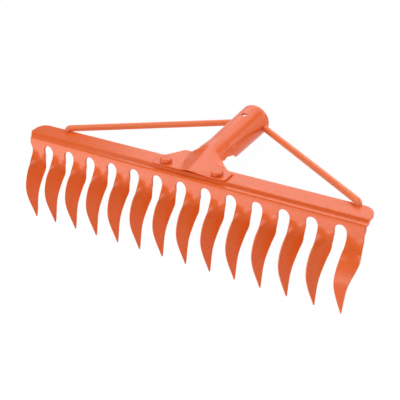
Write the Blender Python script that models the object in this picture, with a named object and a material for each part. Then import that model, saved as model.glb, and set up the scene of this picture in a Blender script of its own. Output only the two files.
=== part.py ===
"""Gravel rake head, without its handle: one pressed blade with fourteen twisted tines, a rolled
socket whose foot is bolted to the blade, and two rods that brace the blade against the socket.

The pieces are modelled in the blade's own frame: X along the blade, +Y towards the handle,
+Z up out of the flange, with the origin where the flange folds over to the front. An empty then
lays the whole head down as it rests on a floor, on its tine points and its socket's mouth."""
import bmesh
import bpy
from math import cos, exp, pi, radians, sin, sqrt, tan
from mathutils import Matrix, Vector

# Clearance between pieces that touch on the real rake
GAP = 0.0003

# Blade: one sheet, with a flange on top and the tines below
BLADE_SHEET = 0.0022
BLADE_SHIFT = -0.0008
TINE_COUNT = 14
TINE_PITCH = 0.0266
LEFT_MARGIN = 0.0103
RIGHT_MARGIN = 0.0088
FLANGE_WIDTH = 0.0192
LEFT_CORNER = 0.0090
RIGHT_CORNER = 0.0130
LEFT_EAR = 0.0063
FOLD_RADIUS = 0.0026
STEP_REACH = 0.0017
STEP_DROP = 0.0026
RIDGE_REACH = 0.0070
RIDGE_DROP = 0.0028
RIDGE_RADIUS = 0.0026
PLATE_RAKE = radians(8)

# Slots and tines
SLOT_WIDTH = 0.0116
SLOT_DROP = 0.0050
TINE_LENGTH = 0.0778
TINE_LEAN = 0.0085
TINE_BELLY = 0.0049
TINE_SWAY = 0.0029
LEFT_TINE_BEND = 0.0013
RIGHT_TINE_BEND = -0.0016
LEFT_TINE_SPARE = 0.0004
ROOT_TWIST = radians(34)
TIP_TWIST = radians(30)
WAIST_WIDTH = 0.0150
WAIST_PLACE = 0.11
BELLY_WIDTH = 0.0174
BELLY_PLACE = 0.32
TIP_WIDTH = 0.0008
TIP_SHEET = 0.0010

# Socket: one sheet, rolled round the handle and opened out into a foot on the flange
SOCKET_SHEET = 0.0020
SOCKET_PITCH = radians(3)
MOUTH_REACH = 0.1317
MOUTH_RISE = -0.0032
MOUTH_RADIUS = 0.0165
WAIST_RADIUS = 0.0150
NECK_RADIUS = 0.0160
TUBE_LENGTH = 0.090
NECK_LENGTH = 0.020
EDGE_ANGLE = radians(75)
SEAM_GAP = 0.0006
SCREW_HOLE = 0.0060
SCREW_HOLE_BACK = 0.0212
ROD_HOLE_SLACK = 0.0027

# Foot of the socket
FOOT_HALF_WIDTH = 0.0402
FOOT_SHIFT = 0.0018
FOOT_FRONT = -0.0020
FOOT_REAR = 0.0145
FOOT_CORNER = 0.0030
LEFT_SWEEP = -0.5
LEFT_HOLD = 0.70
RIGHT_SWEEP = 1.75
RIGHT_HOLD = 0.55
CREST_RISE = 0.0012
CREST_HALF_WIDTH = 0.0125
SHOULDER_HALF_WIDTH = 0.0240

# Bolts through the foot and the flange, across flats and lengthwise
BOLT_SPAN = 0.0280
BOLT_BACK = 0.0064
BOLT_HEAD = 0.0100
BOLT_HEAD_HEIGHT = 0.0038
BOLT_SHANK = 0.0060
NUT_HEIGHT = 0.0050
BOLT_PAST_NUT = 0.0012

# Brace rods
ROD = 0.0065
ROD_BEND = 0.0034
ROD_SPAN = 0.1596
ROD_SHIFT = 0.0036
ROD_INSET = 0.0010
ROD_BELOW = 0.0012
ROD_RISE = 0.0026
ROD_BACK = 0.0078
ROD_SIDE_DROP = 0.0027


def clear_scene():
    for thing in list(bpy.data.objects):
        bpy.data.objects.remove(thing, do_unlink=True)


def paint(name, colour, roughness):
    material = bpy.data.materials.new(name)
    material.use_nodes = True
    shader = material.node_tree.nodes["Principled BSDF"]
    shader.inputs["Base Color"].default_value = (*colour, 1.0)
    shader.inputs["Roughness"].default_value = roughness
    shader.inputs["Metallic"].default_value = 0.0
    return material


def add_object(name, mesh, material, smooth=True):
    thing = bpy.data.objects.new(name, mesh)
    bpy.context.scene.collection.objects.link(thing)
    mesh.materials.append(material)
    for face in mesh.polygons:
        face.use_smooth = smooth
    return thing


def ease(value):
    """Smooth step from 0 to 1."""
    value = min(max(value, 0.0), 1.0)
    return value * value * (3 - 2 * value)


def mix(low, high, share):
    return low + (high - low) * share


def through(stations, place):
    """Value at a place along stations (place, value), eased from each one to the next."""
    for (start, low), (stop, high) in zip(stations, stations[1:]):
        if place <= stop:
            return mix(low, high, ease((place - start) / (stop - start)))
    return stations[-1][1]


def grid_faces(mesh, rows):
    """Quads between neighbouring rows of vertices."""
    for row, following in zip(rows, rows[1:]):
        for i in range(len(row) - 1):
            mesh.faces.new((row[i], row[i + 1], following[i + 1], following[i]))


def sheet_object(name, mesh, material, thickness):
    """Turns an open surface, given by its outer side, into sheet metal."""
    bmesh.ops.remove_doubles(mesh, verts=mesh.verts, dist=0.00001)
    data = bpy.data.meshes.new(name)
    mesh.to_mesh(data)
    mesh.free()
    thing = add_object(name, data, material)
    solid = thing.modifiers.new("sheet", "SOLIDIFY")
    solid.thickness = thickness
    solid.offset = -1
    solid.use_even_offset = True
    return thing


def cylinder(name, radius, start, stop, sides=24):
    """A plain round bar between two points."""
    along = stop - start
    mesh = bmesh.new()
    bmesh.ops.create_cone(mesh, cap_ends=True, segments=sides, radius1=radius, radius2=radius,
                          depth=along.length)
    turn = along.to_track_quat("Z", "Y").to_matrix().to_4x4()
    bmesh.ops.transform(mesh, matrix=Matrix.Translation((start + stop) / 2) @ turn, verts=mesh.verts)
    data = bpy.data.meshes.new(name)
    mesh.to_mesh(data)
    mesh.free()
    thing = bpy.data.objects.new(name, data)
    bpy.context.scene.collection.objects.link(thing)
    return thing


def drill(body, drills):
    """Cuts each drill out of the body, then takes the drill away."""
    for tool in drills:
        hole = body.modifiers.new("hole", "BOOLEAN")
        hole.operation = "DIFFERENCE"
        hole.solver = "EXACT"
        hole.object = tool
    graph = bpy.context.evaluated_depsgraph_get()
    cut = bpy.data.meshes.new_from_object(body.evaluated_get(graph))
    body.modifiers.clear()
    body.data = cut
    for tool in drills:
        bpy.data.objects.remove(tool, do_unlink=True)


# Blade

def corner_inset(from_edge, radius):
    """How far a sheet's side draws in at a rounded corner, by the distance from its end edge."""
    past = radius - from_edge
    if past <= 0:
        return 0.0
    return radius - sqrt(max(radius ** 2 - past ** 2, 0.0))


def rounded_path(corners):
    """Points along a path of (y, z, radius) corners, with each corner rounded to its radius."""
    path = []
    for i, (y, z, radius) in enumerate(corners):
        here = Vector((y, z))
        if radius == 0:
            path.append(here)
            continue
        back = (Vector(corners[i - 1][:2]) - here).normalized()
        ahead = (Vector(corners[i + 1][:2]) - here).normalized()
        half = back.angle(ahead) / 2
        centre = here + (back + ahead).normalized() * (radius / sin(half))
        first = here + back * (radius / tan(half)) - centre
        last = here + ahead * (radius / tan(half)) - centre
        steps = 4
        for k in range(steps + 1):
            swing = first.lerp(last, k / steps).normalized()
            path.append(centre + swing * radius)
    return path


def hang(y, z):
    """Swings a place on the hanging plate forward by the plate's rake, about the fold."""
    turned = Matrix.Rotation(-PLATE_RAKE, 3, "X") @ Vector((0, y, z))
    return turned.y, turned.z


def slot_top():
    """Where the plate meets the top of the slots, in Y and Z before the rake."""
    lean = TINE_LEAN / TINE_LENGTH
    return Vector((-RIDGE_REACH - SLOT_DROP * lean, -RIDGE_DROP - SLOT_DROP))


def blade_profile():
    """Outer side of the sheet from the flange's rear edge over the fold and the ridge to the slots."""
    top = slot_top()
    corner = max(LEFT_CORNER, RIGHT_CORNER)
    corner_steps = 6
    rear = []
    for k in range(corner_steps):
        swing = pi / 2 * k / corner_steps
        rear.append(Vector((FLANGE_WIDTH - corner * (1 - cos(swing)), 0)))
    front = rounded_path([
        (FLANGE_WIDTH - corner, 0, 0),
        (mix(FOLD_RADIUS, FLANGE_WIDTH - corner, 0.4), 0, 0),
        (0, 0, FOLD_RADIUS),
        (*hang(-STEP_REACH, -STEP_DROP), 0.0012),
        (*hang(-RIDGE_REACH, -RIDGE_DROP), RIDGE_RADIUS),
        (*hang(top.x, top.y), 0),
    ])
    return rear + front


def tine_width(share):
    """Width at a share of the way from the slot's side to the point."""
    if share > BELLY_PLACE:
        return mix(BELLY_WIDTH, TIP_WIDTH, ((share - BELLY_PLACE) / (1 - BELLY_PLACE)) ** 1.5)
    root = TINE_PITCH - SLOT_WIDTH
    return through([(0, root), (WAIST_PLACE, WAIST_WIDTH), (BELLY_PLACE, BELLY_WIDTH)], share)


def tine_edges(depth, first, last):
    """Left and right edge of a tine at a depth below the slot's top, about the tine's centre in X.

    The tine leaves the plate flat. On its way down it leans and bows forward, turns its left
    edge to the front and draws in to its point. The outermost tines take up the plate's ends
    and bend a little towards the middle."""
    radius = SLOT_WIDTH / 2
    share = depth / TINE_LENGTH
    top = slot_top()
    if depth < radius:
        half = TINE_PITCH / 2 - sqrt(radius ** 2 - (radius - depth) ** 2)
    else:
        half = tine_width((depth - radius) / (TINE_LENGTH - radius)) / 2
    bow = TINE_BELLY * sin(pi * share ** 1.25) ** 2
    sway = TINE_SWAY * through([(0, 0), (0.15, -0.40), (0.70, 1)], share)
    sway -= TINE_SWAY * 0.85 * (max(share - 0.70, 0) / 0.30) ** 2
    centre = Vector((-sway, *hang(top.x - TINE_LEAN * share - bow, top.y - depth)))
    twist = ROOT_TWIST * ease((share - 0.055) / 0.235) + TIP_TWIST * share ** 4
    across = Vector((cos(twist), *hang(sin(twist), 0)))
    left = half
    right = half
    root = (TINE_PITCH - SLOT_WIDTH) / 2
    side = tine_width(max(depth - radius, 0) / (TINE_LENGTH - radius)) / 2
    if first:
        centre.x += LEFT_TINE_BEND * ease(share / 0.5)
        left = side + through([(0, LEFT_MARGIN - root), (0.08, LEFT_TINE_SPARE), (0.4, 0)], share)
    if last:
        centre.x += RIGHT_TINE_BEND * ease((share - 0.35) / 0.35)
        right = side + (RIGHT_MARGIN - root) * (1 - ease(share / 0.09))
    return centre - across * left, centre + across * right


def tine_depths():
    """Depths of the rows of a tine: close together round the slot's top, even below it."""
    radius = SLOT_WIDTH / 2
    arc_steps = 6
    rows = [radius * (1 - cos(pi / 2 * k / arc_steps)) for k in range(arc_steps + 1)]
    even_steps = 18
    for k in range(1, even_steps + 1):
        rows.append(mix(radius, TINE_LENGTH, k / even_steps))
    return rows


def make_blade(material):
    mesh = bmesh.new()
    fullness = mesh.verts.layers.deform.verify()
    profile = blade_profile()
    for number in range(TINE_COUNT):
        middle = BLADE_SHIFT + (number - (TINE_COUNT - 1) / 2) * TINE_PITCH
        first = number == 0
        last = number == TINE_COUNT - 1
        rows = []
        for point in profile[:-1]:
            left = middle - TINE_PITCH / 2
            right = middle + TINE_PITCH / 2
            from_rear = FLANGE_WIDTH - point.x
            if first:
                ear = LEFT_EAR * ease((point.x + RIDGE_REACH) / (1.5 * RIDGE_REACH))
                left = middle - LEFT_MARGIN - ear + corner_inset(from_rear, LEFT_CORNER)
            if last:
                right = middle + RIGHT_MARGIN - corner_inset(from_rear, RIGHT_CORNER)
            rows.append([mesh.verts.new((x, point.x, point.y))
                         for x in (right, (left + right) / 2, left)])
        for depth in tine_depths():
            left, right = tine_edges(depth, first, last)
            rows.append([mesh.verts.new((middle + edge.x, edge.y, edge.z))
                         for edge in (right, (left + right) / 2, left)])
            for corner in rows[-1]:
                corner[fullness][0] = 1 - ease((depth / TINE_LENGTH - 0.8) / 0.2)
        for row in rows[:len(profile) - 1]:
            for corner in row:
                corner[fullness][0] = 1.0
        grid_faces(mesh, rows)
    blade = sheet_object("rake_blade", mesh, material, BLADE_SHEET)
    blade.vertex_groups.new(name="fullness")
    blade.modifiers["sheet"].vertex_group = "fullness"
    blade.modifiers["sheet"].thickness_vertex_group = TIP_SHEET / BLADE_SHEET
    return blade


# Socket

def socket_axis():
    """Centre of the mouth, the way the tube runs out of the neck and its upward side."""
    mouth = Vector((0, MOUTH_REACH, MOUTH_RISE))
    along = Vector((0, cos(SOCKET_PITCH), sin(SOCKET_PITCH)))
    up = Vector((0, -sin(SOCKET_PITCH), cos(SOCKET_PITCH)))
    return mouth, along, up


def tube_radius(reach):
    """Outer radius at a reach from the neck: drawn in at the waist, then widening to the mouth."""
    if reach < NECK_LENGTH:
        return mix(NECK_RADIUS, WAIST_RADIUS, ease(reach / NECK_LENGTH))
    return mix(WAIST_RADIUS, MOUTH_RADIUS, (reach - NECK_LENGTH) / (TUBE_LENGTH - NECK_LENGTH))


def tube_point(angle, reach, inward=0.0):
    """Point on the tube: angle from its top line, positive towards +X."""
    mouth, along, up = socket_axis()
    radius = tube_radius(reach) - inward
    side = Vector((1, 0, 0))
    return (mouth - along * (TUBE_LENGTH - reach) + side * (radius * sin(angle))
            + up * (radius * cos(angle)))


def seam_angle(reach):
    """Where the sheet's right edge runs: up out of the neck's side, then slowly down to the mouth."""
    return through([
        (0.0, EDGE_ANGLE),
        (0.08 * TUBE_LENGTH, radians(61)),
        (0.50 * TUBE_LENGTH, radians(68)),
        (0.87 * TUBE_LENGTH, radians(91)),
        (TUBE_LENGTH, radians(95)),
    ], reach)


def wrap_front(around):
    """Reach of the wrapped sheet's front edge, from the tube's left side (0) under it to the seam (1)."""
    return through([
        (0.0, 0.0),
        (0.25, 0.42 * TUBE_LENGTH),
        (0.55, 0.53 * TUBE_LENGTH),
        (0.80, 0.27 * TUBE_LENGTH),
        (1.0, 0.0),
    ], around)


def foot_level():
    return GAP + SOCKET_SHEET


def wing_half(y, sweep, hold, count):
    """Outer side of half the foot at a place along Y, from its middle out to the wing's edge.

    The wings keep their full width to the foot's rear edge, then sweep in to the neck. They stay
    level for a held share of that way, then drop to the neck's sides. The crest turns from a
    low roof over the foot into the round top of the neck."""
    neck_edge = tube_point(EDGE_ANGLE, 0)
    neck_top = tube_point(0, 0)
    behind = max((y - FOOT_REAR) / (neck_edge.y - FOOT_REAR), 0.0)
    ahead = (neck_edge.y - y) / (neck_edge.y - FOOT_FRONT)
    taper = (exp(-sweep * behind) - exp(-sweep)) / (1 - exp(-sweep))
    full = FOOT_HALF_WIDTH
    if behind > 0:
        full = mix(neck_edge.x, FOOT_HALF_WIDTH, 0.9)
    edge_half = mix(neck_edge.x, full, taper)
    edge_half -= corner_inset(y - FOOT_FRONT, FOOT_CORNER)
    level = mix(foot_level(), neck_edge.z, ease((behind - hold) / (1 - hold)))
    crest = mix(neck_top.z, foot_level() + CREST_RISE, ahead)
    bell = through([(0, neck_edge.x), (0.4, SHOULDER_HALF_WIDTH), (1, CREST_HALF_WIDTH)], ahead)
    bell = min(bell, edge_half)
    blend = ease(ahead / 0.45)
    dense = []
    for k in range(33):
        angle = EDGE_ANGLE * k / 32
        across = sin(angle) / sin(EDGE_ANGLE)
        arch = (cos(angle) - cos(EDGE_ANGLE)) / (1 - cos(EDGE_ANGLE))
        roof = (1 + cos(pi * across)) / 2
        dense.append(Vector((bell * across, mix(level, crest, mix(arch, roof, blend)))))
    dense.append(Vector((edge_half, level)))
    lengths = [0.0]
    for a, b in zip(dense, dense[1:]):
        lengths.append(lengths[-1] + (b - a).length)
    half = []
    for k in range(count + 1):
        target = lengths[-1] * k / count
        for j in range(len(dense) - 1):
            if lengths[j + 1] >= target - 1e-9:
                span = max(lengths[j + 1] - lengths[j], 1e-9)
                half.append(dense[j].lerp(dense[j + 1], (target - lengths[j]) / span))
                break
    return half


def foot_section(y, count):
    """Outer side of the foot at a place along Y: a crest between two wings."""
    neck = tube_point(EDGE_ANGLE, 0).y
    shift = FOOT_SHIFT * ease((neck - y) / (neck - FOOT_FRONT) / 0.45)
    wing = wing_half(y, LEFT_SWEEP, LEFT_HOLD, count)
    left = [Vector((shift - p.x, y, p.y)) for p in wing]
    wing = wing_half(y, RIGHT_SWEEP, RIGHT_HOLD, count)
    right = [Vector((shift + p.x, y, p.y)) for p in wing]
    return left[::-1] + right[1:]


def foot_places():
    """Places of the foot's sections along Y, close together round its corners and its rear edge."""
    corner_steps = 3
    places = [FOOT_FRONT + FOOT_CORNER * (1 - cos(pi / 2 * k / corner_steps))
              for k in range(corner_steps)]
    steps = 4
    places += [mix(FOOT_FRONT + FOOT_CORNER, FOOT_REAR, k / steps) for k in range(steps + 1)]
    neck = tube_point(EDGE_ANGLE, 0).y - 0.003
    steps = 8
    places += [mix(FOOT_REAR + 0.0002, neck, k / steps) for k in range(steps + 1)]
    return places


TOP_COLUMNS = 20
WRAP_COLUMNS = 14


def make_socket(material):
    mesh = bmesh.new()
    foot_rows = []
    for y in foot_places():
        foot_rows.append([mesh.verts.new(p) for p in foot_section(y, TOP_COLUMNS // 2)])
    steps = 10
    tube_rows = []
    wrap_rows = []
    for j in range(steps + 1):
        share = (j / steps) ** 1.2
        reach = TUBE_LENGTH * share
        row = []
        for i in range(TOP_COLUMNS + 1):
            angle = mix(-EDGE_ANGLE, seam_angle(reach), i / TOP_COLUMNS)
            row.append(mesh.verts.new(tube_point(angle, reach)))
        tube_rows.append(row)
        row = []
        for k in range(WRAP_COLUMNS + 1):
            around = k / WRAP_COLUMNS
            reach = mix(wrap_front(around), TUBE_LENGTH, share)
            under_seam = seam_angle(reach) - 2 * pi + SEAM_GAP / tube_radius(reach)
            row.append(mesh.verts.new(tube_point(mix(-EDGE_ANGLE, under_seam, around), reach)))
        wrap_rows.append(row[::-1])
    grid_faces(mesh, foot_rows + tube_rows)
    grid_faces(mesh, wrap_rows)
    return sheet_object("socket", mesh, material, SOCKET_SHEET)


def drill_socket(socket):
    """Bolt holes in the foot, a screw hole on top of the tube and a hole on each side for a rod."""
    tools = []
    mouth, along, up = socket_axis()
    for side in (-1, 1):
        place = bolt_place(side)
        lift = Vector((0, 0, 0.006))
        tools.append(cylinder("drill", BOLT_SHANK / 2 + GAP, place - lift, place + lift))
        start, corner, foot = rod_corners(side)
        out = (corner - start).normalized()
        for slack in (0, ROD_HOLE_SLACK):
            place = start - along * slack
            tools.append(cylinder("drill", ROD / 2 + GAP, place - out * 0.004, place + out * 0.012))
    back = TUBE_LENGTH - SCREW_HOLE_BACK
    inside = tube_point(0, back, inward=0.006)
    outside = tube_point(0, back, inward=-0.004)
    tools.append(cylinder("drill", SCREW_HOLE / 2, inside, outside))
    drill(socket, tools)


def drill_blade(blade):
    """Bolt holes in the flange, and seats in its rear edge where each rod lies and turns down."""
    tools = []
    lift = Vector((0, 0, 0.006))
    for side in (-1, 1):
        place = bolt_place(side)
        tools.append(cylinder("drill", BOLT_SHANK / 2 + GAP, place - lift, place + lift))
        start, corner, foot = rod_corners(side)
        place = Vector((foot.x, foot.y, 0))
        tools.append(cylinder("drill", ROD / 2 + GAP, place - lift, place + lift))
        back = (start - corner).normalized()
        tools.append(cylinder("drill", ROD / 2 + GAP, corner, corner + back * 0.012))
    drill(blade, tools)


# Bolts and nuts

def bolt_place(side):
    return Vector((FOOT_SHIFT + side * BOLT_SPAN, BOLT_BACK, 0))


def hexagon_ring(height, chamfer=0.0):
    """Points round a hexagon, four to a side; a chamfer lowers its corners and reaches into it."""
    points = []
    for n in range(24):
        angle = 2 * pi * n / 24
        radius = BOLT_HEAD / 2 / cos((n % 4 - 2) * pi / 12)
        points.append(Vector((radius * cos(angle), radius * sin(angle),
                              height - chamfer * (radius - BOLT_HEAD * 0.48))))
    return points


def round_ring(radius, height):
    return [Vector((radius * cos(2 * pi * n / 24), radius * sin(2 * pi * n / 24), height))
            for n in range(24)]


def ring_solid(name, rings, material, closed=False):
    """A solid through rings of points, capped at both ends or closed round to its first ring."""
    mesh = bmesh.new()
    loops = [[mesh.verts.new(point) for point in ring] for ring in rings]
    if closed:
        loops.append(loops[0])
    for loop, following in zip(loops, loops[1:]):
        for n in range(len(loop)):
            m = (n + 1) % len(loop)
            mesh.faces.new((loop[n], loop[m], following[m], following[n]))
    if not closed:
        mesh.faces.new(loops[0][::-1])
        mesh.faces.new(loops[-1])
    bmesh.ops.recalc_face_normals(mesh, faces=mesh.faces)
    data = bpy.data.meshes.new(name)
    mesh.to_mesh(data)
    mesh.free()
    return add_object(name, data, material)


def make_bolt(name, side, material):
    """Hexagonal head on the foot and a shank through both sheets and the nut."""
    seat = foot_level() + GAP
    top = seat + BOLT_HEAD_HEIGHT
    end = -BLADE_SHEET - GAP - NUT_HEIGHT - BOLT_PAST_NUT
    bolt = ring_solid(name, [
        round_ring(BOLT_HEAD * 0.48, top),
        hexagon_ring(top, chamfer=0.6),
        hexagon_ring(seat),
        round_ring(BOLT_SHANK / 2, seat),
        round_ring(BOLT_SHANK / 2, end),
    ], material)
    bolt.location = bolt_place(side)
    bolt.rotation_euler = (0, 0, side * radians(15))
    return bolt


def make_nut(name, side, material):
    top = -BLADE_SHEET - GAP
    low = top - NUT_HEIGHT
    nut = ring_solid(name, [
        round_ring(BOLT_SHANK / 2 + GAP, top),
        hexagon_ring(top),
        hexagon_ring(low, chamfer=-0.6),
        round_ring(BOLT_HEAD * 0.48, low),
        round_ring(BOLT_SHANK / 2 + GAP, low),
    ], material, closed=True)
    nut.location = bolt_place(side)
    nut.rotation_euler = (0, 0, -side * radians(20))
    return nut


# Braces

def rod_corners(side):
    """Ends of a rod's centre line and the corner between them: in the tube's wall, above the
    flange, and just under the flange."""
    angle = side * (pi / 2 + ROD_SIDE_DROP / MOUTH_RADIUS)
    start = tube_point(angle, TUBE_LENGTH - ROD_BACK, inward=SOCKET_SHEET * 0.7)
    foot = Vector((ROD_SHIFT + side * ROD_SPAN, FLANGE_WIDTH - ROD_INSET,
                   -BLADE_SHEET - ROD_BELOW))
    corner = Vector((foot.x, foot.y, ROD_RISE))
    return start, corner, foot


def make_brace(name, side, material):
    start, corner, foot = rod_corners(side)
    back = (start - corner).normalized()
    down = (foot - corner).normalized()
    half = back.angle(down) / 2
    centre = corner + (back + down).normalized() * (ROD_BEND / sin(half))
    first = corner + back * (ROD_BEND / tan(half)) - centre
    last = corner + down * (ROD_BEND / tan(half)) - centre
    path = [start]
    bend_steps = 6
    for k in range(bend_steps + 1):
        path.append(centre + first.lerp(last, k / bend_steps).normalized() * ROD_BEND)
    path.append(foot)
    sideways = back.cross(down).normalized()
    sides = 16
    rings = []
    for k, place in enumerate(path):
        before = path[max(k - 1, 0)]
        after = path[min(k + 1, len(path) - 1)]
        across = sideways.cross(after - before).normalized()
        turns = [2 * pi * n / sides for n in range(sides)]
        rings.append([place + (sideways * cos(turn) + across * sin(turn)) * ROD / 2
                      for turn in turns])
    return ring_solid(name, rings, material)


# Rest

def lowest(thing, tilt):
    """Height of a piece's lowest point when the head is tilted, its rear side down."""
    return min(v.co.z * cos(tilt) - v.co.y * sin(tilt) for v in thing.data.vertices)


def rest_on_floor(blade, socket, pieces):
    """Tilts the head until tine points and mouth are equally low, and stands it on the floor
    with the middle of its outline over the origin."""
    flat = 0.0
    steep = radians(60)
    for attempt in range(40):
        tilt = (flat + steep) / 2
        if lowest(blade, tilt) < lowest(socket, tilt):
            flat = tilt
        else:
            steep = tilt
    turn = Matrix.Rotation(-tilt, 4, "X")
    outline = [turn @ v.co for thing in (blade, socket) for v in thing.data.vertices]
    across = [point.x for point in outline]
    back = [point.y for point in outline]
    head = bpy.data.objects.new("rake_head", None)
    bpy.context.scene.collection.objects.link(head)
    head.rotation_euler = (-tilt, 0, 0)
    head.location = (-(min(across) + max(across)) / 2, -(min(back) + max(back)) / 2,
                     -lowest(blade, tilt))
    for thing in pieces:
        thing.parent = head
    bpy.context.view_layer.update()


def build():
    clear_scene()
    orange = (0.78, 0.17, 0.065)
    blade = make_blade(paint("blade_paint", orange, 0.40))
    socket = make_socket(paint("socket_paint", orange, 0.38))
    drill_blade(blade)
    drill_socket(socket)
    pieces = [blade, socket]
    for word, side in (("left", -1), ("right", 1)):
        pieces += [
            make_bolt("bolt_" + word, side, paint("bolt_%s_paint" % word, orange, 0.36)),
            make_nut("nut_" + word, side, paint("nut_%s_paint" % word, orange, 0.36)),
            make_brace("brace_" + word, side, paint("brace_%s_paint" % word, orange, 0.34)),
        ]
    rest_on_floor(blade, socket, pieces)


build()
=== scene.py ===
"""Head of a gravel rake without its handle: a rolled socket, bolted onto a pressed steel blade
with fourteen twisted tines and braced with two rods, all in orange powder coat."""
from math import cos, pi, radians, sin

import bmesh
import bpy
import numpy as np
from mathutils import Matrix, Vector


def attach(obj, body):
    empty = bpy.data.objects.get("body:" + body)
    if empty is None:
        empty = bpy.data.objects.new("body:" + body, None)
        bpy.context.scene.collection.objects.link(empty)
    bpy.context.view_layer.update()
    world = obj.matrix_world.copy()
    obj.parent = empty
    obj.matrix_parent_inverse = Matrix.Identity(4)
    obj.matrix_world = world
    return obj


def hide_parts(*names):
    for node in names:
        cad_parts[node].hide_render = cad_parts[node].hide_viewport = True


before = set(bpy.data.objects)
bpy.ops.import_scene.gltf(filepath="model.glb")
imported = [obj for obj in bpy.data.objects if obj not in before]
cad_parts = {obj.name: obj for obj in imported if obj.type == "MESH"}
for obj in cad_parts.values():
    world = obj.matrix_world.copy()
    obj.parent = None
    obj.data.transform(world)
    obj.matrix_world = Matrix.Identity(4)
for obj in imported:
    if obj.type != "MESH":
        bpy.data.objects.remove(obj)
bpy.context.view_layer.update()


# Floor: a sheet of matt white card in a white room, which the head lies on. Seven soft boxes
# stand round it. Those above and behind put the sheen on flange, crest and tube. Low down at the
# front right there is none, so that the tines keep their full colour and show their twist.
CARD_HALF = 12.0
CARD_GLOW = 0.98
ROOM_LIGHT = 0.34
LAMP_DISTANCE = 1.4


def linear(code):
    """sRGB hex colour as linear RGB with alpha."""
    share = np.array([int(code[k:k + 2], 16) for k in (1, 3, 5)]) / 255
    bright = np.where(share <= 0.04045, share / 12.92, ((share + 0.055) / 1.055) ** 2.4)
    return (*bright, 1.0)


def add_node(tree, kind, feeds=None, **settings):
    """Adds a node. feeds gives its inputs, each a value or another node's output."""
    node = tree.nodes.new(kind)
    for name, value in settings.items():
        setattr(node, name, value)
    for name, value in (feeds or {}).items():
        if isinstance(value, bpy.types.NodeSocket):
            tree.links.new(value, node.inputs[name])
        else:
            node.inputs[name].default_value = value
    return node


floor_mesh = bpy.data.meshes.new("floor_card")
card_corners = [(x * CARD_HALF, y * CARD_HALF, 0) for x, y in ((-1, -1), (1, -1), (1, 1), (-1, 1))]
floor_mesh.from_pydata(card_corners, [], [(0, 1, 2, 3)])
floor = bpy.data.objects.new("floor_card", floor_mesh)
bpy.context.scene.collection.objects.link(floor)

# Matt white card, overexposed: to the eye and in the coat's sheen it is almost pure white
card = bpy.data.materials.new("white_card")
card.use_nodes = True
tree = card.node_tree
tree.nodes.clear()
ray = add_node(tree, "ShaderNodeLightPath")
seen = add_node(tree, "ShaderNodeMath", {0: ray.outputs["Is Camera Ray"],
                                         1: ray.outputs["Is Glossy Ray"]}, operation="MAXIMUM")
seen = add_node(tree, "ShaderNodeMath", {0: seen.outputs[0],
                                         1: ray.outputs["Is Transmission Ray"]},
                operation="MAXIMUM")
lifted = add_node(tree, "ShaderNodeMath", {0: seen.outputs[0], 1: CARD_GLOW},
                  operation="MULTIPLY")
matt = add_node(tree, "ShaderNodeBsdfDiffuse", {"Color": linear("#f4f4f3")})
glow = add_node(tree, "ShaderNodeEmission", {"Color": linear("#ffffff"), "Strength": 1.0})
both = add_node(tree, "ShaderNodeMixShader", {0: lifted.outputs[0], 1: matt.outputs[0],
                                              2: glow.outputs[0]})
add_node(tree, "ShaderNodeOutputMaterial", {"Surface": both.outputs[0]})
floor_mesh.materials.append(card)

room = bpy.data.worlds.new("white_room")
bpy.context.scene.world = room
room.use_nodes = True
room.node_tree.nodes["Background"].inputs["Color"].default_value = (1, 1, 1, 1)
room.node_tree.nodes["Background"].inputs["Strength"].default_value = ROOM_LIGHT

# Each box has its azimuth, clockwise from the handle's side, its elevation, its size in metres
# and its power
for name, azimuth, elevation, size, watts in (
        ("key_box", 136, 62, (0.7, 0.5), 4.5),
        ("front_box", -153, 13, (1.3, 0.42), 7.8),
        ("top_box", -20, 78, (1.0, 0.8), 1.8),
        ("side_box", 52, 14, (0.8, 0.5), 4.5),
        ("low_back_box", -16, 11, (1.1, 0.42), 3.0),
        ("back_box", -5, 34, (1.1, 0.40), 5.4),
        ("left_box", -105, 44, (0.6, 0.5), 2.0)):
    lamp = bpy.data.objects.new(name, bpy.data.lights.new(name, "AREA"))
    lamp.data.shape = "RECTANGLE"
    lamp.data.size, lamp.data.size_y = size
    lamp.data.energy = watts
    lamp.location = (LAMP_DISTANCE * sin(radians(azimuth)) * cos(radians(elevation)),
                     LAMP_DISTANCE * cos(radians(azimuth)) * cos(radians(elevation)),
                     LAMP_DISTANCE * sin(radians(elevation)))
    lamp.rotation_euler = (-lamp.location).to_track_quat("-Z", "Y").to_euler()
    bpy.context.scene.collection.objects.link(lamp)

camera = bpy.data.objects.new("camera", bpy.data.cameras.new("camera"))
camera.location = (0.40244, -0.43020, 0.63585)
camera.rotation_euler = (radians(40.3243), radians(13.8399), radians(29.1521))
camera.data.lens = 77.727
camera.data.shift_x = -0.00329
camera.data.shift_y = 0.00907
bpy.context.scene.collection.objects.link(camera)
bpy.context.scene.camera = camera
bpy.context.scene.view_settings.view_transform = "Standard"


# Socket: one sheet of 2 mm steel. Its rear part is rolled round the handle, with the free edge
# closing on the right side. Its front part opens over a hollow crest into a flat foot, which is
# bolted onto the blade. Each side has a hole for a brace rod and the top one for a screw.
SOCKET_SHEET = 0.0020
SOCKET_PITCH = radians(3)
MOUTH = np.array([0, 0.1317, -0.0032])
MOUTH_RADIUS = 0.0165
WAIST_RADIUS = 0.0150
NECK_RADIUS = 0.0160
TUBE_LENGTH = 0.090
NECK_LENGTH = 0.020
EDGE_ANGLE = radians(75)
SEAM_GAP = 0.0003
SCREW_HOLE = 0.0060
SCREW_HOLE_BACK = 0.0212

# Clearance between pieces, and how far the sheets' sheared edges are rounded. An edge that turns
# by more than SHEARED counts as sheared, and one that turns by more than CREASE is drawn sharp.
GAP = 0.0003
EDGE_ROUND = 0.0004
SHEARED = radians(50)
CREASE = radians(38)

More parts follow.
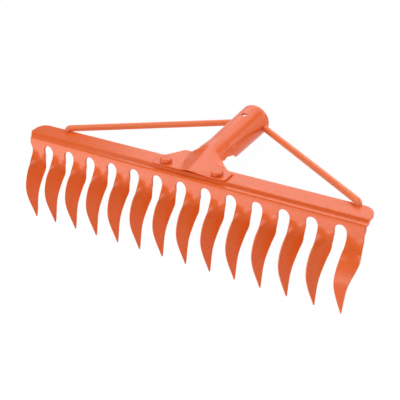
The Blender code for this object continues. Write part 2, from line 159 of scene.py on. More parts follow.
# Foot: its outline, its thinned sheet and the crest that runs out over it
FOOT_HALF_WIDTH = 0.0402
FOOT_SHIFT = 0.0018
FOOT_FRONT = -0.0009
FOOT_REAR = 0.0145
FOOT_CORNER = 0.0030
FOOT_SHEET = 0.0014
FOOT_LEVEL = GAP + FOOT_SHEET
WING_NOTCH = 0.9
WING_NOTCH_LENGTH = 0.0002
NECK_MARGIN = 0.0012
CREST_RISE = 0.0016
CREST_BLEND = 0.45
CREST_SPREAD_PLACE = 0.4
RIDGE_SOFTNESS = 0.05
RIDGE_SHARE = 0.9
LEFT_WING = {"sweep": -0.5, "hold": 0.70, "spread": 0.0150, "crest_half": 0.0085}
RIGHT_WING = {"sweep": 1.75, "hold": 0.55, "spread": 0.0290, "crest_half": 0.0210}

# Steps of the surfaces: points of the crest's section, columns across the foot and the tube's top
# and round its wrapped part, and rows along the tube
CREST_POINTS = 65
TOP_COLUMNS = 60
WRAP_COLUMNS = 42
TUBE_ROWS = 40
ROW_CROWDING = 1.2

# Bolts and brace rods, as far as they set the holes that are cut for them
BOLT_SPAN = 0.0280
BOLT_BACK = 0.0064
BOLT_SHANK = 0.0060
ROD = 0.0065
ROD_SPAN = 0.1596
ROD_SHIFT = 0.0036
ROD_FOOT_BACK = 0.0182
ROD_FOOT_DROP = 0.0034
ROD_RISE = 0.0026
ROD_BACK = 0.0078
ROD_SIDE_DROP = 0.0027
ROD_START_DEPTH = 0.7 * SOCKET_SHEET
ROD_HOLE_SLACK = 0.0012

# How far the drills reach past the sheet: to both sides of the foot, and into and out of the tube
BOLT_DRILL = 0.006
SCREW_DRILL = (0.006, 0.004)
ROD_DRILL = (0.004, 0.012)

# How the head lies: tilted back about X onto its tine points and its socket's rim
TILT = radians(-21.6021)
PLACE = np.array([0.0047, -0.034992, 0.067086])


def laid_down(points):
    """Points of the upright head, turned about X by the tilt and set on the floor."""
    turn = np.array([[1, 0, 0], [0, cos(TILT), -sin(TILT)], [0, sin(TILT), cos(TILT)]])
    return points @ turn.T + PLACE


def ease(value):
    """Smooth step, 3v^2 - 2v^3, from 0 to 1."""
    value = np.clip(value, 0.0, 1.0)
    return value * value * (3 - 2 * value)


def through(stations, place):
    """Value at each place along stations (place, value), eased from one station to the next."""
    place = np.asarray(place, float)
    value = np.full(place.shape, float(stations[0][1]))
    for (start, low), (stop, high) in zip(stations, stations[1:]):
        value = value + (high - low) * ease((place - start) / (stop - start))
    return value


def on_tube(angle, reach, inward=0.0):
    """Point on the tube = its axis + radius * (sin, cos) of the angle from its top line, positive
    to the right. The radius narrows from the neck to the waist and widens to the mouth."""
    angle, reach = np.broadcast_arrays(np.asarray(angle, float), np.asarray(reach, float))
    narrow = NECK_RADIUS + (WAIST_RADIUS - NECK_RADIUS) * ease(reach / NECK_LENGTH)
    widen = (reach - NECK_LENGTH) / (TUBE_LENGTH - NECK_LENGTH)
    wide = WAIST_RADIUS + (MOUTH_RADIUS - WAIST_RADIUS) * widen
    radius = np.where(reach < NECK_LENGTH, narrow, wide) - inward
    along = np.array([0, cos(SOCKET_PITCH), sin(SOCKET_PITCH)])
    up = np.array([0, -sin(SOCKET_PITCH), cos(SOCKET_PITCH)])
    side = np.array([1.0, 0, 0])
    return (MOUTH - along * (TUBE_LENGTH - reach)[..., None]
            + side * (radius * np.sin(angle))[..., None] + up * (radius * np.cos(angle))[..., None])


def seam(reach):
    """Angle of the rolled sheet's right edge at each reach: out of the neck, down to the mouth."""
    return through([(0, EDGE_ANGLE), (0.08 * TUBE_LENGTH, radians(61)),
                    (0.50 * TUBE_LENGTH, radians(68)), (0.87 * TUBE_LENGTH, radians(91)),
                    (TUBE_LENGTH, radians(95))], reach)


def wing_half(y, sweep, hold, spread, crest_half):
    """Outer side of half the foot, one cross-section per row, from its middle out to the wing's
    edge at equal steps along the section. Behind the flange the wing's half width falls by
    (exp(-s t) - exp(-s)) / (1 - exp(-s)), and it stays level for a held share of that way. The
    section of the crest blends from a soft ridge over the foot into the tube's arc."""
    neck_edge = on_tube(EDGE_ANGLE, 0)
    neck_top = on_tube(0, 0)
    behind = np.clip((y - FOOT_REAR) / (neck_edge[1] - FOOT_REAR), 0, None)
    ahead = (neck_edge[1] - y) / (neck_edge[1] - FOOT_FRONT)
    taper = (np.exp(-sweep * behind) - np.exp(-sweep)) / (1 - np.exp(-sweep))
    full = np.where(behind > 0, neck_edge[0] + (FOOT_HALF_WIDTH - neck_edge[0]) * WING_NOTCH,
                    FOOT_HALF_WIDTH)
    past = np.clip(FOOT_CORNER - (y - FOOT_FRONT), 0, None)
    inset = FOOT_CORNER - np.sqrt(FOOT_CORNER ** 2 - past ** 2)
    edge = neck_edge[0] + (full - neck_edge[0]) * taper - inset
    level = FOOT_LEVEL + (neck_edge[2] - FOOT_LEVEL) * ease((behind - hold) / (1 - hold))
    crest = neck_top[2] + (FOOT_LEVEL + CREST_RISE - neck_top[2]) * ahead
    bell = through([(0, neck_edge[0]), (CREST_SPREAD_PLACE, spread), (1, crest_half)], ahead)
    bell = np.minimum(bell, edge)
    angle = EDGE_ANGLE * np.linspace(0, 1, CREST_POINTS)[None]
    over = np.sin(angle) / sin(EDGE_ANGLE)
    arch = (np.cos(angle) - cos(EDGE_ANGLE)) / (1 - cos(EDGE_ANGLE))
    foot_of_roof = np.hypot(1, RIDGE_SOFTNESS)
    roof = (foot_of_roof - np.hypot(over, RIDGE_SOFTNESS)) / (foot_of_roof - RIDGE_SOFTNESS)
    roof = RIDGE_SHARE * roof + (1 - RIDGE_SHARE) * (1 + np.cos(pi * over)) / 2
    blend = ease(ahead / CREST_BLEND)
    x = np.concatenate([bell * over, edge], axis=1)
    z = np.concatenate([level + (crest - level) * (arch + (roof - arch) * blend), level], axis=1)
    length = np.cumsum(np.hypot(np.diff(x), np.diff(z)), axis=1)
    length = np.concatenate([0 * y, length], axis=1)
    target = np.linspace(0, 1, TOP_COLUMNS // 2 + 1)
    return np.stack([np.stack([np.interp(target * a[-1], a, b), np.interp(target * a[-1], a, c)],
                              axis=-1) for a, b, c in zip(length, x, z)])


def foot_grid():
    """Outer side of the foot: a crest between two wings, of which the left one sweeps in almost
    straight and stays level longer. The middle moves over to the neck's."""
    neck = on_tube(EDGE_ANGLE, 0)[1]
    corner = FOOT_FRONT + FOOT_CORNER * (1 - np.cos(pi / 2 * np.arange(5) / 5))
    flat = np.linspace(FOOT_FRONT + FOOT_CORNER, FOOT_REAR, 9)
    swept = np.linspace(FOOT_REAR + WING_NOTCH_LENGTH, neck - NECK_MARGIN, 26)
    y = np.concatenate([corner, flat, swept])[:, None]
    shift = FOOT_SHIFT * ease((neck - y) / (neck - FOOT_FRONT) / CREST_BLEND)
    left = wing_half(y, **LEFT_WING)
    right = wing_half(y, **RIGHT_WING)
    across = np.concatenate([-left[:, :0:-1, 0], right[:, :, 0]], axis=1) + shift
    height = np.concatenate([left[:, :0:-1, 1], right[:, :, 1]], axis=1)
    full = ease((y - FOOT_REAR) / (neck - FOOT_REAR)) + 0 * across
    return np.stack([across, y + 0 * across, height, full], axis=-1)


def rolled_grids():
    """Outer side of the tube in two grids: the top from the left side to the seam, and the part
    wrapped under it from the left side round to the seam, whose front edge is cut in a bow. The
    rows lie at (share of the length) ^ 1.2, closer together at the neck."""
    share = (np.arange(TUBE_ROWS + 1) / TUBE_ROWS) ** ROW_CROWDING
    reach = TUBE_LENGTH * share[:, None]
    across = np.linspace(0, 1, TOP_COLUMNS + 1)[None]
    top = on_tube(-EDGE_ANGLE + (seam(reach) + EDGE_ANGLE) * across, reach + 0 * across)
    around = np.linspace(0, 1, WRAP_COLUMNS + 1)[None]
    front = through([(0, 0), (0.25, 0.42 * TUBE_LENGTH), (0.55, 0.53 * TUBE_LENGTH),
                     (0.80, 0.27 * TUBE_LENGTH), (1, 0)], around)
    reach = front + (TUBE_LENGTH - front) * share[:, None]
    close = seam(reach) - 2 * pi + SEAM_GAP / WAIST_RADIUS
    wrap = on_tube(-EDGE_ANGLE + (close + EDGE_ANGLE) * around, reach)[:, ::-1]
    return [np.concatenate([grid, 1 + 0 * grid[..., :1]], axis=-1) for grid in (top, wrap)]


def rod_corners(side):
    """Ends of a rod's centre line, in the tube's wall and under the flange, and the corner
    between them, where it turns down."""
    angle = side * (pi / 2 + ROD_SIDE_DROP / MOUTH_RADIUS)
    start = on_tube(angle, TUBE_LENGTH - ROD_BACK, ROD_START_DEPTH)
    foot = np.array([ROD_SHIFT + side * ROD_SPAN, ROD_FOOT_BACK, -ROD_FOOT_DROP])
    corner = np.array([foot[0], foot[1], ROD_RISE])
    return start, corner, foot


def weld(name, grids, distance=0.00001):
    """One mesh from grids of points: quads between neighbouring rows and columns, with the
    points that coincide welded together. A fourth number is a point's share of full thickness."""
    mesh = bpy.data.meshes.new(name)
    points = []
    quads = []
    start = 0
    for grid in grids:
        rows, columns = grid.shape[:2]
        order = start + np.arange(rows * columns).reshape(rows, columns)
        quads.append(np.stack([order[:-1, :-1], order[:-1, 1:], order[1:, 1:], order[1:, :-1]],
                              axis=-1).reshape(-1, 4))
        points.append(grid.reshape(rows * columns, -1))
        start += rows * columns
    points = np.vstack(points)
    mesh.from_pydata(points[:, :3].tolist(), [], np.vstack(quads).tolist())
    loose = bmesh.new()
    loose.from_mesh(mesh)
    fullness = loose.verts.layers.deform.verify()
    for vert, share in zip(loose.verts, points[:, 3:].ravel()):
        vert[fullness][0] = share
    bmesh.ops.remove_doubles(loose, verts=loose.verts, dist=distance)
    loose.to_mesh(mesh)
    loose.free()
    return mesh


def drill(start, stop, radius, sides=32):
    """Round bar between two points of the upright head, to cut a hole with."""
    start = Vector(start)
    stop = Vector(stop)
    bar = bmesh.new()
    bmesh.ops.create_cone(bar, cap_ends=True, segments=sides, radius1=radius, radius2=radius,
                          depth=(stop - start).length)
    turn = (stop - start).to_track_quat("Z", "Y").to_matrix().to_4x4()
    bmesh.ops.transform(bar, matrix=Matrix.Translation((start + stop) / 2) @ turn, verts=bar.verts)
    mesh = bpy.data.meshes.new("drill")
    bar.to_mesh(mesh)
    bar.free()
    tool = bpy.data.objects.new("drill", mesh)
    bpy.context.scene.collection.objects.link(tool)
    return tool


def bolt_hole(side):
    """Drill for a bolt's hole through the foot and the flange."""
    x = FOOT_SHIFT + side * BOLT_SPAN
    return drill((x, BOLT_BACK, -BOLT_DRILL), (x, BOLT_BACK, BOLT_DRILL), BOLT_SHANK / 2 + GAP)


def sheet_metal(mesh, thickness, drills, thin):
    """Gives a surface its thickness inwards, rounds its edges and cuts the drills out of it. Where
    a point's fullness is 0, only the share thin of the thickness is left."""
    body = bpy.data.objects.new(mesh.name, mesh)
    bpy.context.scene.collection.objects.link(body)
    body.vertex_groups.new(name="fullness")
    solid = body.modifiers.new("thickness", "SOLIDIFY")
    solid.vertex_group = "fullness"
    solid.thickness_vertex_group = thin
    solid.thickness = thickness
    solid.offset = -1
    solid.use_even_offset = True
    round_edge = body.modifiers.new("round_edge", "BEVEL")
    round_edge.width = EDGE_ROUND
    round_edge.segments = 2
    round_edge.limit_method = "ANGLE"
    round_edge.angle_limit = SHEARED
    for tool in drills:
        hole = body.modifiers.new("hole", "BOOLEAN")
        hole.operation = "DIFFERENCE"
        hole.solver = "EXACT"
        hole.object = tool
    graph = bpy.context.evaluated_depsgraph_get()
    done = bpy.data.meshes.new_from_object(body.evaluated_get(graph))
    body.modifiers.clear()
    body.data = done
    done.name = mesh.name
    for tool in drills:
        bpy.data.objects.remove(tool, do_unlink=True)
    return body


def finish_piece(piece, name, node, material):
    """Lays a piece on the floor, gives it its paint and lets it take its node's place."""
    piece.name = name
    mesh = piece.data
    points = np.empty(len(mesh.vertices) * 3)
    mesh.vertices.foreach_get("co", points)
    mesh.vertices.foreach_set("co", laid_down(points.reshape(-1, 3)).ravel())
    mesh.materials.clear()
    mesh.materials.append(material)
    mesh.polygons.foreach_set("use_smooth", np.ones(len(mesh.polygons), bool))
    mesh.set_sharp_from_angle(angle=CREASE)
    mesh.update()
    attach(piece, "root")
    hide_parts(node)


# Orange powder coat: where it is full, and on sharp edges, where it draws back and its paler
# colour is partly that thinner coat and partly a painted highlight. Its patterns are given by the
# size of their cells in mm, and its orange peel by its depth in metres too.
BODY = "#e8611f"
# Paler colour on sharp edges: thinner coat and a painted edge highlight
THIN_EDGE_AND_HIGHLIGHT = "#f29a78"
SHEET_ROUGHNESS = 0.28
SHEET_PEEL = 2.4
PATCH_CELL = 25.0
HAZE_CELL = 9.1
PEEL_DEPTH = 0.00003
COAT_IOR = 1.46


def powder_coat(name, body, roughness, peel_cell):
    """Polyester powder coat, sprayed dry and baked at about 190 C. It melts into a skin with a
    fine orange peel, draws back from sharp edges and is a little unevenly thick. Its paler colour
    on sharp edges is partly that thinner coat and partly a painted highlight."""
    material = bpy.data.materials.new(name)
    material.use_nodes = True
    tree = material.node_tree
    shader = tree.nodes["Principled BSDF"]
    place = add_node(tree, "ShaderNodeTexCoord").outputs["Object"]
    # Uneven thickness in large patches, which shifts the shade by a few percent
    patches = add_node(tree, "ShaderNodeTexNoise", {"Vector": place, "Scale": 1000.0 / PATCH_CELL,
                                                    "Detail": 3.0, "Roughness": 0.55})
    shade = add_node(tree, "ShaderNodeMapRange", {"Value": patches.outputs["Fac"],
                                                  "From Min": 0.35, "From Max": 0.65,
                                                  "To Min": 0.98, "To Max": 1.015})
    tone = add_node(tree, "ShaderNodeHueSaturation", {"Color": linear(body),
                                                      "Value": shade.outputs["Result"]})
    # The coat is thinner on sheared edges and painted paler there, partly for that thin coat and
    # partly as a painted highlight on the edges
    edge = add_node(tree, "ShaderNodeNewGeometry").outputs["Pointiness"]
    thin_edge_and_highlight = add_node(tree, "ShaderNodeMapRange", {"Value": edge, "From Min": 0.53,
                                                  "From Max": 0.60, "To Min": 0.0,
                                                  "To Max": 0.5})
    colour = add_node(tree, "ShaderNodeMix", {"Factor": thin_edge_and_highlight.outputs["Result"],
                                              "A": tone.outputs["Color"], "B": linear(THIN_EDGE_AND_HIGHLIGHT)},
                      data_type="RGBA")
    colour = next(socket for socket in colour.outputs if socket.type == "RGBA")
    # The gloss changes softly from place to place
    haze = add_node(tree, "ShaderNodeTexNoise", {"Vector": place, "Scale": 1000.0 / HAZE_CELL,
                                                 "Detail": 2.0})
    gloss = add_node(tree, "ShaderNodeMapRange", {"Value": haze.outputs["Fac"],
                                                  "From Min": 0.3, "From Max": 0.7,
                                                  "To Min": roughness - 0.02,
                                                  "To Max": roughness + 0.03})
    # Orange peel, a few hundredths of a millimetre deep
    peel = add_node(tree, "ShaderNodeTexNoise", {"Vector": place, "Scale": 1000.0 / peel_cell,
                                                 "Detail": 1.0})
    skin = add_node(tree, "ShaderNodeBump", {"Height": peel.outputs["Fac"], "Strength": 0.3,
                                             "Distance": PEEL_DEPTH})
    tree.links.new(colour, shader.inputs["Base Color"])
    tree.links.new(gloss.outputs["Result"], shader.inputs["Roughness"])
    tree.links.new(skin.outputs["Normal"], shader.inputs["Normal"])
    shader.inputs["IOR"].default_value = COAT_IOR
    return material


top, wrap = rolled_grids()
socket_mesh = weld("socket", [np.concatenate([foot_grid(), top]), wrap])
holes = []
for side in (-1, 1):
    holes.append(bolt_hole(side))
    start, corner, foot = rod_corners(side)
    out = (corner - start) / np.linalg.norm(corner - start)
    # The rod's hole is punched longer than the rod is thick
    for slack in (0, ROD_HOLE_SLACK):
        place = start - np.array([0, slack, 0])
        holes.append(drill(place - out * ROD_DRILL[0], place + out * ROD_DRILL[1], ROD / 2 + GAP))
back = TUBE_LENGTH - SCREW_HOLE_BACK
holes.append(drill(on_tube(0, back, SCREW_DRILL[0]), on_tube(0, back, -SCREW_DRILL[1]),
                   SCREW_HOLE / 2))
socket = sheet_metal(socket_mesh, SOCKET_SHEET, holes, FOOT_SHEET / SOCKET_SHEET)
finish_piece(socket, "rolled_socket", "socket",
             powder_coat("powder_coat_on_socket", BODY, SHEET_ROUGHNESS, SHEET_PEEL))


# Blade: one sheet of 2.2 mm steel, sheared and pressed. From the rear it runs as a flat flange
# over a fold and a small step to a ridge, then hangs down as a plate that is slotted into tines.
# Each tine leaves the plate flat, turns its left edge forward, bows and draws in to its point.
SHEET = 0.0022
BLADE_SHIFT = -0.0008
LEFT_MARGIN = 0.0103
RIGHT_MARGIN = 0.0088
FLANGE_WIDTH = 0.0192
LEFT_CORNER = 0.0090
RIGHT_CORNER = 0.0130
LEFT_EAR = 0.0063
FLAT_END = 0.0034
FOLD_LEG = 0.0022
FOLD_RADIUS = 0.0014

# Step and ridge: the foot of the step lies deep where it is pressed in, and almost in line where
# it is not. It is given as Y and Z from the fold, and pressed in more and more from the left on.
DEEP_STEP = (-0.0017, -0.0026)
PLAIN_STEP = (-0.0030, -0.0017)
STEP_RADIUS = 0.0009
STEP_AT_LEFT = 0.15
STEP_GROWS_FROM = -0.165
STEP_GROWS_OVER = 0.120
RIDGE_REACH = 0.0070
RIDGE_DROP = 0.0028
RIDGE_RADIUS = 0.0016
PLATE_RAKE = radians(8)

# Slots and tines. Places along a tine are shares of its length from the top of the slot. Those of
# the waist and the belly are shares of what lies below the slot's round top.
TINES = 14
PITCH = 0.0266
SLOT_WIDTH = 0.0116
SLOT_DROP = 0.0050
TINE_LENGTH = 0.0778
TINE_LEAN = 0.0085
TINE_BELLY = 0.0049
TINE_SWAY = 0.0029
FIRST_SWAY_PLACE = 0.15
FIRST_SWAY = -0.40
SWAY_TURNS = 0.70
SWAY_BACK = 0.85
ROOT_TWIST = radians(48)
ROOT_TWIST_FROM = 0.09
ROOT_TWIST_OVER = 0.21
TIP_TWIST = radians(16)
WAIST_WIDTH = 0.0150
WAIST_PLACE = 0.11
BELLY_WIDTH = 0.0174
BELLY_PLACE = 0.32
HIP = 0.0009
HIP_LENGTH = 0.07
TIP_WIDTH = 0.0008
TIP_SHEET = 0.0010
TIP_THINS_FROM = 0.8
TINE_COLUMNS = 18
SLOT_ROWS = 12
TINE_ROWS = 78

# The outermost tines: the left one bends in to the right and the right one to the left, which
# also twists less and lies almost flat again below its first third
LEFT_TINE_BEND = 0.0013
LEFT_BEND_OVER = 0.5
LEFT_MARGIN_ENDS = 0.08
LEFT_TINE_SPARE = 0.0004
LEFT_SPARE_ENDS = 0.4
RIGHT_TINE_BEND = -0.0016
RIGHT_BEND_OVER = 0.35
RIGHT_MARGIN_ENDS = 0.09
LAST_TWIST = 0.50
LAST_FLATTENS = 0.9
LAST_FLATTENS_FROM = 0.22
LAST_FLATTENS_OVER = 0.16


def raked(y, z):
    """Y and Z of a place on the plate, swung forward about the fold by the plate's rake."""
    return (y * cos(PLATE_RAKE) + z * sin(PLATE_RAKE), z * cos(PLATE_RAKE) - y * sin(PLATE_RAKE))


def corner_arc(before, here, after, radius, steps):
    """Arc of the radius that replaces the corner here and touches both of its legs: the chord
    between the two points of contact, each of its points moved out to the radius."""
    back = before - here
    back = back / np.linalg.norm(back)
    ahead = after - here
    ahead = ahead / np.linalg.norm(ahead)
    half = np.arccos(np.clip(back @ ahead, -1, 1)) / 2
    middle = here + (back + ahead) / np.linalg.norm(back + ahead) * radius / sin(half)
    first = here + back * radius / np.tan(half) - middle
    last = here + ahead * radius / np.tan(half) - middle
    swing = first + (last - first) * np.linspace(0, 1, steps)[:, None]
    return middle + swing * radius / np.linalg.norm(swing, axis=1, keepdims=True)


def slot_top():
    """Y and Z of the top of the slots before the plate's rake."""
    return -RIDGE_REACH - SLOT_DROP * TINE_LEAN / TINE_LENGTH, -RIDGE_DROP - SLOT_DROP


def flange_profile(step):
    """Y and Z along the sheet from the flange's rear edge over the fold, the foot of the step and
    the ridge towards the top of the slots: straight legs with an arc at each corner."""
    corner = max(LEFT_CORNER, RIGHT_CORNER)
    rear = FLANGE_WIDTH - corner * (1 - np.cos(pi / 2 * np.arange(10) / 10))
    level = np.concatenate([rear, np.linspace(FLANGE_WIDTH - corner, FLAT_END, 3)])
    corners = np.array([(FOLD_LEG, 0), (0, 0), raked(*step), raked(-RIDGE_REACH, -RIDGE_DROP),
                        raked(*slot_top())])
    arcs = [corner_arc(*corners[k:k + 3], radius, 7)
            for k, radius in enumerate((FOLD_RADIUS, STEP_RADIUS, RIDGE_RADIUS))]
    return np.vstack([np.stack([level, 0 * level], axis=1), corners[:1], *arcs])


def corner_inset(from_edge, radius):
    """How far a rounded corner draws a side in: r - sqrt(r^2 - (r - d)^2) at a distance d."""
    past = np.clip(radius - from_edge, 0, None)
    return radius - np.sqrt(radius ** 2 - past ** 2)


def pressed_in(x):
    """How far the step is pressed in along the blade, as a share: a small rest of it at the left
    end, eased to 1 between the fifth tine and the sixth."""
    return STEP_AT_LEFT + (1 - STEP_AT_LEFT) * ease((x - STEP_GROWS_FROM) / STEP_GROWS_OVER)


def plate_cells(middle, first, last, across):
    """Flange and plate above each tine: x = left edge + across * (right edge - left edge), and y
    and z = plain profile + pressed share * (stepped profile - plain profile)."""
    stepped = flange_profile(DEEP_STEP)
    plain = flange_profile(PLAIN_STEP)
    from_rear = FLANGE_WIDTH - stepped[:, 0]
    ear = LEFT_EAR * ease((stepped[:, 0] + RIDGE_REACH) / (1.5 * RIDGE_REACH))
    left_end = middle - LEFT_MARGIN - ear + corner_inset(from_rear, LEFT_CORNER)
    right_end = middle + RIGHT_MARGIN - corner_inset(from_rear, RIGHT_CORNER)
    left = np.where(first, left_end, middle - PITCH / 2)
    right = np.where(last, right_end, middle + PITCH / 2)
    x = left[..., None] + (right - left)[..., None] * across
    pressed = pressed_in(x)
    y = plain[:, 0, None] + (stepped - plain)[:, 0, None] * pressed
    z = plain[:, 1, None] + (stepped - plain)[:, 1, None] * pressed
    return np.stack([x, y, z, 1 + 0 * x], axis=-1)


def tine_sides(depth, first, last):
    """How far a tine's left and right edges lie from its centre line at each depth. Beside the
    slot's round top they leave the slot's arc. Below it they follow half the width, which eases
    from root over waist to belly and then falls to the point by (share of the way) ^ 1.5. The
    right edge is fuller at the belly by a hip of h exp(-((t - b) / l)^2). The outermost edges
    ease in from the plate's ends."""
    radius = SLOT_WIDTH / 2
    root = PITCH - SLOT_WIDTH
    share = depth / TINE_LENGTH
    below = np.clip((depth - radius) / (TINE_LENGTH - radius), 0, 1)
    width = through([(0, root), (WAIST_PLACE, WAIST_WIDTH), (BELLY_PLACE, BELLY_WIDTH)], below)
    to_point = np.clip((below - BELLY_PLACE) / (1 - BELLY_PLACE), 0, 1)
    width = width + (TIP_WIDTH - BELLY_WIDTH) * to_point ** 1.5
    arc = np.sqrt(np.clip(radius ** 2 - (radius - np.minimum(depth, radius)) ** 2, 0, None))
    half = np.where(depth < radius, PITCH / 2 - arc, width / 2)
    hip = HIP * np.exp(-((share - BELLY_PLACE) / HIP_LENGTH) ** 2)
    left_spare = through([(0, LEFT_MARGIN - root / 2), (LEFT_MARGIN_ENDS, LEFT_TINE_SPARE),
                          (LEFT_SPARE_ENDS, 0)], share)
    right_spare = (RIGHT_MARGIN - root / 2) * (1 - ease(share / RIGHT_MARGIN_ENDS))
    left = np.where(first, width / 2 + left_spare, half)
    right = np.where(last, width / 2 + right_spare, half + hip)
    return left, right


def tine_cells(middle, first, last, across):
    """Tines: point = centre line + along * (cos, sin) of the twist, where along runs from the
    left edge to the right edge. The centre line leans forward evenly, bows by b sin(pi t^1.25)^2
    and sways a little to the right, to the left and back. The twist eases in at the root and
    grows to the point by t^4."""
    radius = SLOT_WIDTH / 2
    beside_slot = radius * (1 - np.cos(np.linspace(0, pi / 2, SLOT_ROWS + 1)))
    below_slot = radius + (TINE_LENGTH - radius) * np.arange(1, TINE_ROWS + 1) / TINE_ROWS
    depth = np.concatenate([beside_slot, below_slot])
    share = depth / TINE_LENGTH
    left, right = tine_sides(depth, first, last)
    along = -left[..., None] + (left + right)[..., None] * across

    bow = TINE_BELLY * np.sin(pi * share ** 1.25) ** 2
    sway = TINE_SWAY * through([(0, 0), (FIRST_SWAY_PLACE, FIRST_SWAY), (SWAY_TURNS, 1)], share)
    back = np.clip(share - SWAY_TURNS, 0, None) / (1 - SWAY_TURNS)
    sway = sway - TINE_SWAY * SWAY_BACK * back ** 2
    bend = np.where(first, LEFT_TINE_BEND * ease(share / LEFT_BEND_OVER), 0)
    bend = np.where(last, RIGHT_TINE_BEND * ease((share - RIGHT_BEND_OVER) / RIGHT_BEND_OVER), bend)
    slot_y, slot_z = slot_top()
    centre_y, centre_z = raked(slot_y - TINE_LEAN * share - bow, slot_z - depth)

    flattened = LAST_FLATTENS * ease((share - LAST_FLATTENS_FROM) / LAST_FLATTENS_OVER)
    turned = np.where(last, LAST_TWIST * (1 - flattened), 1.0)[..., None]
    twist = ROOT_TWIST * ease((share[:, None] - ROOT_TWIST_FROM) / ROOT_TWIST_OVER)
    twist = (twist + TIP_TWIST * share[:, None] ** 4) * turned
    slope_y, slope_z = raked(np.sin(twist), 0 * twist)

    x = (middle + bend - sway)[..., None] + along * np.cos(twist)
    y = centre_y[None, :, None] + along * slope_y
    z = centre_z[None, :, None] + along * slope_z
    full = 1 - ease((share - TIP_THINS_FROM) / (1 - TIP_THINS_FROM))
    return np.stack([x, y, z, 0 * x + full[None, :, None]], axis=-1)


def blade_cells():
    """Outer side of the sheet, as a grid of points for each tine and the plate and flange above
    it. The fourth number is the sheet's fullness, which eases from 1 to 0 towards the points."""
    number = np.arange(TINES)[:, None]
    middle = BLADE_SHIFT + (number - (TINES - 1) / 2) * PITCH
    ends = (number == 0, number == TINES - 1)
    across = np.linspace(0, 1, TINE_COLUMNS + 1)[::-1]
    return np.concatenate([plate_cells(middle, *ends, across), tine_cells(middle, *ends, across)],
                          axis=1)


# Seats for the rods in the flange's rear edge: how far they are cut below and above the rod's
# foot, and along the rod
SEAT_BELOW = np.array([0, 0, 0.003])
SEAT_ABOVE = np.array([0, 0, 0.010])
SEAT_LENGTH = 0.012

blade_mesh = weld("blade", list(blade_cells()))
holes = []
for side in (-1, 1):
    holes.append(bolt_hole(side))
    start, corner, foot = rod_corners(side)
    leg = (start - corner) / np.linalg.norm(start - corner)
    holes.append(drill(foot - SEAT_BELOW, foot + SEAT_ABOVE, ROD / 2 + GAP))
    holes.append(drill(corner, corner + leg * SEAT_LENGTH, ROD / 2 + GAP))
blade = sheet_metal(blade_mesh, SHEET, holes, TIP_SHEET / SHEET)
finish_piece(blade, "pressed_blade", "rake_blade",
             powder_coat("powder_coat_on_blade", BODY, SHEET_ROUGHNESS, SHEET_PEEL))


# Bolts: two steel bolts with 6 mm threads and low hexagon heads, 10.8 mm across flats, put through
# foot and flange from above. The heads are forged and turned off to a cone at their corners, and
# are coated over with the rest.
BOLT_HEAD = 0.0108
BOLT_HEAD_HEIGHT = 0.0032
BOLT_PAST_NUT = 0.0012
DISH_CENTRE = 0.0012
DISH_RADIUS = 0.0040
DISH_LIP = 0.0004
DISH_DEPTH = 0.00003
SEAT_ROUND = 0.0002
CONE_START = 0.46
CONE_SLOPE = 0.55
THREAD_PITCH = 0.0010
THREAD_DEPTH = 0.00044
THREAD_ROWS = 75
END_CHAMFER = 0.0006
END_CHAMFER_HEIGHT = 0.0004
END_CENTRE = 0.0005
NUT_HEIGHT = 0.0050
BOLT_ROUGHNESS = 0.36
SMALL_PEEL = 1.0
AROUND = 2 * pi * np.arange(96) / 96


def hexagon(across_flats, softness=40):
    """Radius all round a hexagon with soft corners: half the width over flats, divided by the
    p-norm of the cosines to its six sides."""
    facing = np.cos(AROUND[:, None] - pi / 3 * np.arange(6)[None])
    norm = (np.clip(facing, 0, None) ** softness).sum(axis=1) ** (1 / softness)
    return across_flats / 2 / norm


def ring(radius, height):
    """Ring of points about Z: (r cos, r sin, h) with its own r and h at each angle."""
    radius, height = np.broadcast_arrays(radius, height, AROUND)[:2]
    return np.stack([radius * np.cos(AROUND), radius * np.sin(AROUND), height], axis=-1)


def chamfered(across_flats, height, inward):
    """Rings over a hexagon's chamfer: the cone leaves the end face at a radius of 0.46 of the
    width over flats and drops 0.55 mm for each mm that it runs out to the hexagon."""
    outline = hexagon(across_flats)
    start = CONE_START * across_flats
    rings = []
    for share in (0.0, 0.06, 0.3, 0.6, 0.9, 1.0):
        radius = start + (outline - start) * share
        rings.append(ring(radius, height - inward * CONE_SLOPE * (radius - start)))
    return rings


def bolt_rings():
    """Rings of a bolt from the middle of its slightly dished head down to its end. The thread is
    a groove of d (1 + cos(2 pi z / pitch - angle)) / 2."""
    seat = FOOT_LEVEL + GAP
    top = seat + BOLT_HEAD_HEIGHT
    end = -SHEET - GAP - NUT_HEIGHT - BOLT_PAST_NUT
    outline = hexagon(BOLT_HEAD)
    rings = [ring(DISH_CENTRE, top - DISH_DEPTH), ring(DISH_RADIUS, top - DISH_DEPTH),
             ring(DISH_RADIUS + DISH_LIP, top)]
    rings += chamfered(BOLT_HEAD, top, 1)
    rings += [ring(outline, seat + SEAT_ROUND), ring(outline - SEAT_ROUND / 2, seat),
              ring(BOLT_SHANK / 2 + SEAT_ROUND, seat), ring(BOLT_SHANK / 2, seat - SEAT_ROUND)]
    for z in np.linspace(-SHEET, end + END_CHAMFER_HEIGHT, THREAD_ROWS):
        groove = THREAD_DEPTH / 2 * (1 + np.cos(2 * pi * z / THREAD_PITCH - AROUND))
        rings.append(ring(BOLT_SHANK / 2 - groove, z))
    rings += [ring(BOLT_SHANK / 2 - END_CHAMFER, end), ring(END_CENTRE, end)]
    return np.array(rings)


def at_bolt_hole(rings, side, swing):
    """Rings turned about Z by the swing and moved to the bolt hole of a side."""
    spin = np.array([[cos(swing), -sin(swing), 0], [sin(swing), cos(swing), 0], [0, 0, 1]])
    return rings @ spin.T + np.array([FOOT_SHIFT + side * BOLT_SPAN, BOLT_BACK, 0])


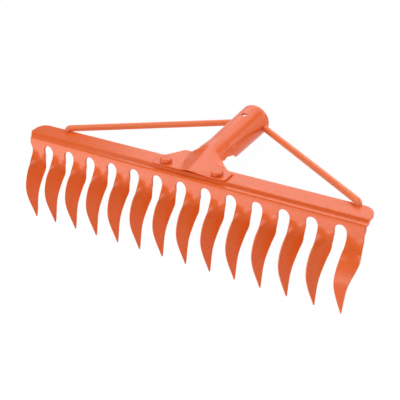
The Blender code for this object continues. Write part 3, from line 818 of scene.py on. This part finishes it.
def closed_rings(name, rings):
    """Mesh through closed rings of points, with a cap over the first and the last ring."""
    count, sides = rings.shape[:2]
    order = np.arange(count * sides).reshape(count, sides)
    turn = np.roll(order, -1, axis=1)
    quads = np.stack([order[:-1], turn[:-1], turn[1:], order[1:]], axis=-1).reshape(-1, 4)
    mesh = bpy.data.meshes.new(name)
    mesh.from_pydata(rings.reshape(-1, 3).tolist(), [],
                     quads.tolist() + [order[0][::-1].tolist(), order[-1].tolist()])
    shell = bmesh.new()
    shell.from_mesh(mesh)
    bmesh.ops.recalc_face_normals(shell, faces=shell.faces)
    shell.to_mesh(mesh)
    shell.free()
    return mesh


for word, side in (("left", -1), ("right", 1)):
    rings = at_bolt_hole(bolt_rings(), side, side * radians(15))
    bolt = bpy.data.objects.new("bolt", closed_rings("bolt", rings))
    bpy.context.scene.collection.objects.link(bolt)
    finish_piece(bolt, "hexagon_bolt_" + word, "bolt_" + word,
                 powder_coat("powder_coat_on_bolt_" + word, BODY, BOLT_ROUGHNESS, SMALL_PEEL))


# Nuts: two steel hexagon nuts, screwed onto the bolts' ends and tight under the flange. They are
# cut from hexagonal bar, chamfered below and countersunk at both ends of the bore, and coated
# over with the rest.
COUNTERSINK = 0.0003
COUNTERSINK_DEPTH = 0.0004
NUT_ROUGHNESS = 0.40


def nut_rings():
    """Rings of a nut from its bore over the top face and down the outside back into the bore."""
    high = -SHEET - GAP
    low = high - NUT_HEIGHT
    bore = BOLT_SHANK / 2 + GAP
    outline = hexagon(BOLT_HEAD)
    rings = [ring(bore, high - COUNTERSINK_DEPTH), ring(bore + COUNTERSINK, high),
             ring(outline - SEAT_ROUND, high), ring(outline, high - SEAT_ROUND)]
    rings += chamfered(BOLT_HEAD, low, -1)[::-1]
    rings += [ring(bore + COUNTERSINK, low), ring(bore, low + COUNTERSINK_DEPTH), rings[0]]
    return np.array(rings)


for word, side in (("left", -1), ("right", 1)):
    rings = at_bolt_hole(nut_rings(), side, -side * radians(20))
    mesh = weld("nut", [np.concatenate([rings, rings[:, :1]], axis=1)], 0.000001)
    nut = bpy.data.objects.new("nut", mesh)
    bpy.context.scene.collection.objects.link(nut)
    finish_piece(nut, "hexagon_nut_" + word, "nut_" + word,
                 powder_coat("powder_coat_on_nut_" + word, BODY, NUT_ROUGHNESS, SMALL_PEEL))


# Brace rods: round steel bar of 6.5 mm, straight from a hole in the socket's side to a seat in
# the flange's rear edge, where its end is bent down and set into the sheet. Their coat colour is
# painted paler than the rest's, as painted sheen where the light falls brighter on the thin bar.
ROD_BEND = 0.0034
# Rod colour painted paler than the coat elsewhere, as painted sheen on the bar
ROD_COAT_WITH_PAINTED_SHEEN = "#f57e4a"
ROD_ROUGHNESS = 0.42
ROD_PEEL = 1.2
BAR_ROWS = 23
BEND_ROWS = 13


def round_bar(name, path, radius, sides=32):
    """Bar along a bent path: point = path + r cos * sideways + r sin * upwards, where sideways is
    square to the plane of the bend and upwards is square to it and to the path. Both ends are
    closed."""
    ahead = np.gradient(path, axis=0)
    ahead = ahead / np.linalg.norm(ahead, axis=1, keepdims=True)
    sideways = np.cross(path[0] - path[-2], path[-1] - path[-2])
    sideways = sideways / np.linalg.norm(sideways)
    upwards = np.cross(sideways, ahead)
    angle = 2 * pi * np.arange(sides) / sides
    rings = (path[:, None] + sideways * (np.cos(angle) * radius)[:, None]
             + upwards[:, None] * (np.sin(angle) * radius)[:, None])
    return closed_rings(name, rings)


for word, side in (("left", -1), ("right", 1)):
    start, corner, foot = rod_corners(side)
    bend = corner_arc(start, corner, foot, ROD_BEND, BEND_ROWS)
    straight = start + (bend[0] - start) * np.linspace(0, 1, BAR_ROWS + 1)[:-1, None]
    tail = bend[-1] + (foot - bend[-1]) * np.array([[0.5], [1.0]])
    path = np.vstack([straight, bend, tail])
    brace = bpy.data.objects.new("brace", round_bar("brace", path, ROD / 2))
    bpy.context.scene.collection.objects.link(brace)
    finish_piece(brace, "brace_rod_" + word, "brace_" + word,
                 powder_coat("powder_coat_on_rod_" + word, ROD_COAT_WITH_PAINTED_SHEEN, ROD_ROUGHNESS, ROD_PEEL))
